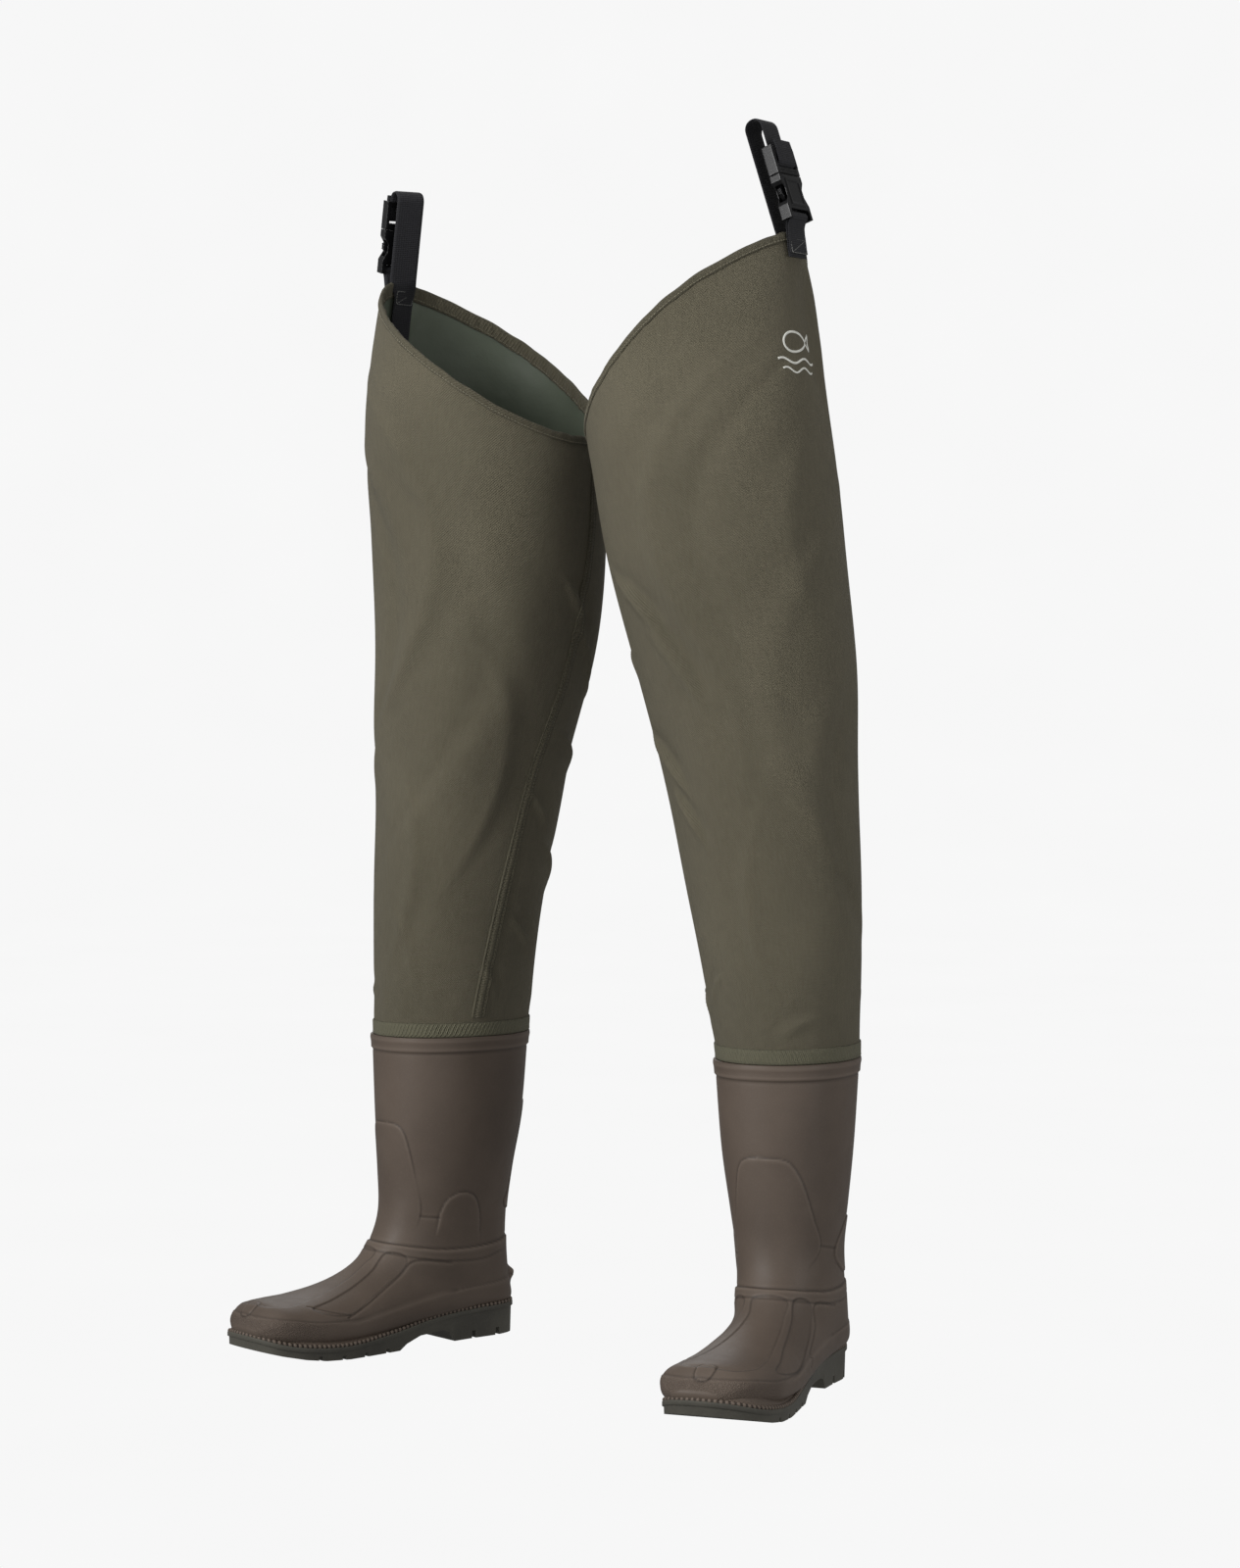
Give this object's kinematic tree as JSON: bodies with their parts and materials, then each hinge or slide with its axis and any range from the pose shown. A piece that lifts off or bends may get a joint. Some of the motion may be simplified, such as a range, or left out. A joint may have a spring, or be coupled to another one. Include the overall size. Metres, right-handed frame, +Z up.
{
  "type": "hip waders",
  "caption": "Pair of hip waders: moulded lug-soled boots welded to slant-cut coated-cloth legs, each with a webbing belt strap and side-release buckle.",
  "frame": {"origin": "middle of the pair on the floor, under the middle of the bounding box", "axes": "+Z up; the wearer faces -Y, the left leg is at +X"},
  "size_m": [0.547, 0.3054, 1.0333],
  "materials": {
    "outsole": "matt moulded PVC",
    "boot": "satin moulded PVC",
    "lining": "knitted polyester over foam",
    "cloth": "PVC-coated twill, matt outside",
    "hem": "folded and sewn coated twill",
    "seam": "sewn and taped seam",
    "webbing": "ribbed polypropylene webbing",
    "buckle": "glossy moulded acetal"
  },
  "bodies": {
    "left_boot": {"left_outsole": "outsole", "left_boot_shaft": "boot", "left_boot_vamp": "boot", "left_insole": "lining", "left_boot_lining": "lining", "left_weld_band": "cloth", "left_leg_lower": "cloth", "left_inseam_lower": "seam", "left_leg_knee": "cloth", "left_inseam_knee": "seam"},
    "left_thigh": {"left_leg_upper": "cloth", "left_hem": "hem", "left_inseam_upper": "seam", "left_strap_anchor": "webbing", "left_strap_tab": "webbing"},
    "left_strap": {"left_buckle_keeper": "webbing", "left_buckle_female": "buckle"},
    "left_plug": {"left_strap_loop": "webbing", "left_buckle_male": "buckle"},
    "left_prong_front": {"left_prong_front": "buckle"},
    "left_prong_rear": {"left_prong_rear": "buckle"},
    "right_boot": {"right_outsole": "outsole", "right_boot_shaft": "boot", "right_boot_vamp": "boot", "right_insole": "lining", "right_boot_lining": "lining", "right_weld_band": "cloth", "right_leg_lower": "cloth", "right_inseam_lower": "seam", "right_leg_knee": "cloth", "right_inseam_knee": "seam"},
    "right_thigh": {"right_leg_upper": "cloth", "right_hem": "hem", "right_inseam_upper": "seam", "right_strap_anchor": "webbing", "right_strap_tab": "webbing"},
    "right_strap": {"right_buckle_keeper": "webbing", "right_buckle_female": "buckle"},
    "right_plug": {"right_strap_loop": "webbing", "right_buckle_male": "buckle"},
    "right_prong_front": {"right_prong_front": "buckle"},
    "right_prong_rear": {"right_prong_rear": "buckle"}
  },
  "joints": [
    {"name": "left_knee_bend", "type": "hinge", "parent": "left_boot", "child": "left_thigh", "pos_m": [0.153, 0.05872, 0.505], "axis": [-1, 0, 0], "range_deg": [0, 40], "deforming": ["left_leg_knee", "left_inseam_knee"]},
    {"name": "left_strap_swing", "type": "hinge", "parent": "left_thigh", "child": "left_strap", "pos_m": [0.20541, 0.0262, 0.93976], "axis": [-0.0349, 0.9994, 0], "range_deg": [-11, 44]},
    {"name": "left_buckle_release", "type": "slide", "parent": "left_strap", "child": "left_plug", "axis": [-0.3254, -0.0114, 0.9455], "range_m": [0, 0.026], "deforming": ["left_prong_front", "left_prong_rear"]},
    {"name": "left_prong_front_pinch", "type": "hinge", "parent": "left_plug", "child": "left_prong_front", "pos_m": [0.19816, 0.01594, 0.98579], "axis": [0.9449, 0.033, 0.3256], "range_deg": [0, 9], "stiffness_Nm_per_rad": 0.05},
    {"name": "left_prong_rear_pinch", "type": "hinge", "parent": "left_plug", "child": "left_prong_rear", "pos_m": [0.19746, 0.03593, 0.98579], "axis": [0.9449, 0.033, 0.3256], "range_deg": [-9, 0], "stiffness_Nm_per_rad": 0.05},
    {"name": "right_knee_bend", "type": "hinge", "parent": "right_boot", "child": "right_thigh", "pos_m": [-0.153, 0.05872, 0.505], "axis": [-1, 0, 0], "range_deg": [0, 40], "deforming": ["right_leg_knee", "right_inseam_knee"]},
    {"name": "right_strap_swing", "type": "hinge", "parent": "right_thigh", "child": "right_strap", "pos_m": [-0.20793, 0.02653, 0.92514], "axis": [-0.4384, -0.8988, 0], "range_deg": [-16, 39]},
    {"name": "right_buckle_release", "type": "slide", "parent": "right_strap", "child": "right_plug", "axis": [0.2174, -0.1061, 0.9703], "range_m": [0, 0.026], "deforming": ["right_prong_front", "right_prong_rear"]},
    {"name": "right_prong_front_pinch", "type": "hinge", "parent": "right_plug", "child": "right_prong_front", "pos_m": [-0.20912, 0.01599, 0.97166], "axis": [0.8721, -0.4253, -0.2419], "range_deg": [0, 9], "stiffness_Nm_per_rad": 0.05},
    {"name": "right_prong_rear_pinch", "type": "hinge", "parent": "right_plug", "child": "right_prong_rear", "pos_m": [-0.20035, 0.03396, 0.97166], "axis": [0.8721, -0.4253, -0.2419], "range_deg": [-9, 0], "stiffness_Nm_per_rad": 0.05},
    {"name": "waders_apart", "type": "slide", "parent": "left_boot", "child": "right_boot", "axis": [-1, 0, 0], "range_m": [0, 0.25]}
  ],
  "couplings": [
    {"joint": "left_prong_rear_pinch", "follows": "left_prong_front_pinch", "ratio": -1},
    {"joint": "right_prong_rear_pinch", "follows": "right_prong_front_pinch", "ratio": -1}
  ]
}
